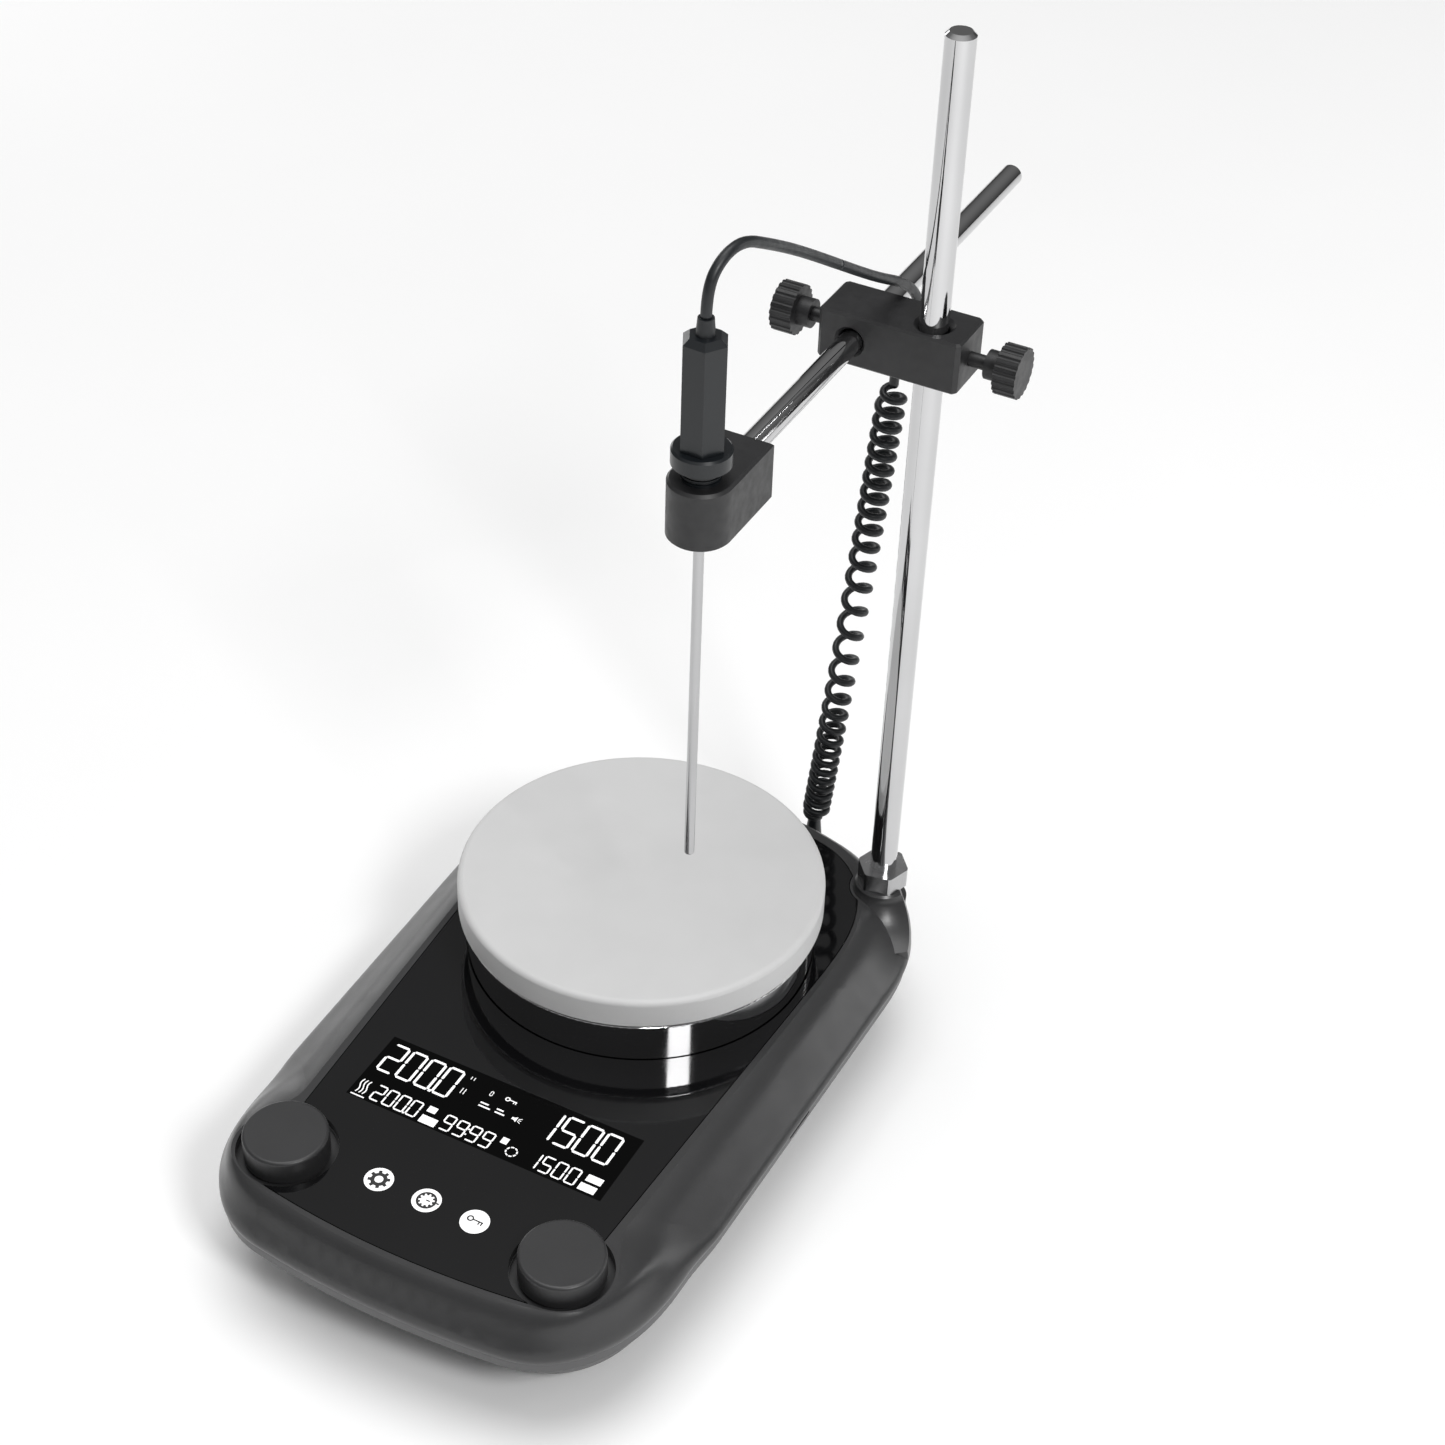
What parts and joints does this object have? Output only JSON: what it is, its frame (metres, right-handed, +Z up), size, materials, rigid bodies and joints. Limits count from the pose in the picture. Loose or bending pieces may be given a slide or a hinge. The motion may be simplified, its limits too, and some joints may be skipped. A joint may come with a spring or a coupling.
{
  "type": "magnetic stirrer",
  "caption": "Heated magnetic stirrer with a round white plate, glass control panel, two push dials and a rod stand that holds a temperature probe on a curly cord",
  "frame": {"origin": "on the standing surface under the middle of the outline seen from above, probe cord left out", "axes": "+X to the right as the user faces the dials, +Y away from the user, +Z up"},
  "size_m": [0.1889, 0.3812, 0.404],
  "materials": {
    "shell_upper": "fine moulded texture, satin",
    "shell_lower": "fine moulded texture",
    "panel_glass": "polished, printed black behind",
    "display": "polished",
    "plate_ceramic": "white ceramic coating, semi-matte",
    "chrome": "mirror polished",
    "steel": "turned steel",
    "clamp_black": "black anodised look, satin",
    "knob_grey": "satin",
    "probe_black": "satin, slightly blue",
    "cord_black": "smooth jacket",
    "rubber": "matt",
    "plastic_black": "moulded",
    "insulation": "ceramic fibre board",
    "motor_metal": "zinc plated",
    "windings": "enamelled copper",
    "magnet": "sintered",
    "brass": "turned brass",
    "circuit_board": "solder mask",
    "aluminium": "bead blasted"
  },
  "bodies": {
    "base": {"control_board": "circuit_board", "cord_coil_lower": "cord_black", "display_module": "plastic_black", "display_window": "display", "encoders": "plastic_black", "feet": "rubber", "fuse_holder": "plastic_black", "glass_panel": "panel_glass", "heater_element": "steel", "hotplate": "plate_ceramic", "housing_screws": "steel", "inlet_pins": "brass", "insulation_disc": "insulation", "lower_housing": "shell_lower", "mains_inlet": "plastic_black", "motor_bearings": "steel", "motor_bracket": "motor_metal", "motor_housing": "motor_metal", "motor_stator": "windings", "plate_lip": "chrome", "plate_seal": "rubber", "plate_standoffs": "steel", "plug_strain_relief": "cord_black", "power_board": "circuit_board", "rear_panel": "plastic_black", "rod_socket": "steel", "sensor_plug": "probe_black", "sensor_socket": "steel", "shroud_ring": "chrome", "switch_frame": "plastic_black", "touch_board": "circuit_board", "upper_housing": "shell_upper"},
    "rod": {"support_rod": "chrome", "rod_nut": "steel", "cord_coil_upper": "cord_black"},
    "boss": {"boss_clamp": "clamp_black", "cord_boss_lead": "cord_black"},
    "bar": {"crossbar": "chrome"},
    "holder": {"probe_holder": "clamp_black", "holder_screw": "steel", "probe_collar": "probe_black", "probe_handle": "probe_black", "handle_nipple": "cord_black", "probe_stem": "steel", "cord_probe_lead": "cord_black"},
    "pad_left": {"clamp_pad_left": "brass"},
    "pad_right": {"clamp_pad_right": "brass"},
    "screw_left": {"thumbscrew_left": "clamp_black"},
    "screw_right": {"thumbscrew_right": "clamp_black"},
    "plunger_left": {"push_plunger_left": "plastic_black"},
    "plunger_right": {"push_plunger_right": "plastic_black"},
    "dial_left": {"knob_left": "knob_grey", "encoder_shaft_left": "aluminium"},
    "dial_right": {"knob_right": "knob_grey", "encoder_shaft_right": "aluminium"},
    "rotor": {"motor_shaft": "steel", "motor_rotor": "magnet", "magnet_carrier": "aluminium", "stirring_magnets": "magnet"},
    "rocker": {"power_rocker": "plastic_black"}
  },
  "joints": [
    {"name": "rod_swing", "type": "hinge", "parent": "base", "child": "rod", "pos_m": [0.06255, 0.0616, 0.06], "axis": [0, 0, 1], "range_deg": [-35, 35]},
    {"name": "boss_height", "type": "slide", "parent": "rod", "child": "boss", "axis": [0, 0, 1], "range_m": [-0.06, 0.095], "deforming": ["cord_coil_upper"]},
    {"name": "bar_reach", "type": "slide", "parent": "boss", "child": "bar", "axis": [0, 1, 0], "range_m": [-0.09, 0.07], "deforming": ["cord_boss_lead"]},
    {"name": "holder_tilt", "type": "hinge", "parent": "bar", "child": "holder", "pos_m": [0.03735, -0.0364, 0.2932], "axis": [0, 1, 0], "range_deg": [-25, 25], "deforming": ["cord_probe_lead"]},
    {"name": "screw_left_turn", "type": "hinge", "parent": "pad_left", "child": "screw_left", "pos_m": [0.01895, 0.0632, 0.2932], "axis": [-1, 0, 0], "range_deg": [0, 1080]},
    {"name": "pad_left_travel", "type": "slide", "parent": "boss", "child": "pad_left", "axis": [-1, 0, 0], "range_m": [0, 0.0026]},
    {"name": "screw_right_turn", "type": "hinge", "parent": "pad_right", "child": "screw_right", "pos_m": [0.08295, 0.0632, 0.2932], "axis": [1, 0, 0], "range_deg": [0, 1080]},
    {"name": "pad_right_travel", "type": "slide", "parent": "boss", "child": "pad_right", "axis": [1, 0, 0], "range_m": [0, 0.0026]},
    {"name": "push_left", "type": "slide", "parent": "base", "child": "plunger_left", "axis": [0, 0, -1], "range_m": [0, 0.001], "stiffness_N_per_m": 3000, "springref_m": -0.0003},
    {"name": "push_right", "type": "slide", "parent": "base", "child": "plunger_right", "axis": [0, 0, -1], "range_m": [0, 0.001], "stiffness_N_per_m": 3000, "springref_m": -0.0003},
    {"name": "dial_left_turn", "type": "hinge", "parent": "plunger_left", "child": "dial_left", "pos_m": [-0.05925, -0.1576, 0.06], "axis": [0, 0, 1], "continuous": true},
    {"name": "dial_right_turn", "type": "hinge", "parent": "plunger_right", "child": "dial_right", "pos_m": [0.04915, -0.1576, 0.06], "axis": [0, 0, 1], "continuous": true},
    {"name": "rotor_spin", "type": "hinge", "parent": "base", "child": "rotor", "pos_m": [-0.00505, -0.0064, 0.05], "axis": [0, 0, 1], "continuous": true},
    {"name": "rocker_switch", "type": "hinge", "parent": "base", "child": "rocker", "pos_m": [-0.00505, 0.0801, 0.023], "axis": [-1, 0, 0], "range_deg": [0, 16]}
  ],
  "couplings": [
    {"joint": "pad_left_travel", "follows": "screw_left_turn", "m_per_rad": 0.00012732},
    {"joint": "pad_right_travel", "follows": "screw_right_turn", "m_per_rad": 0.00012732}
  ]
}
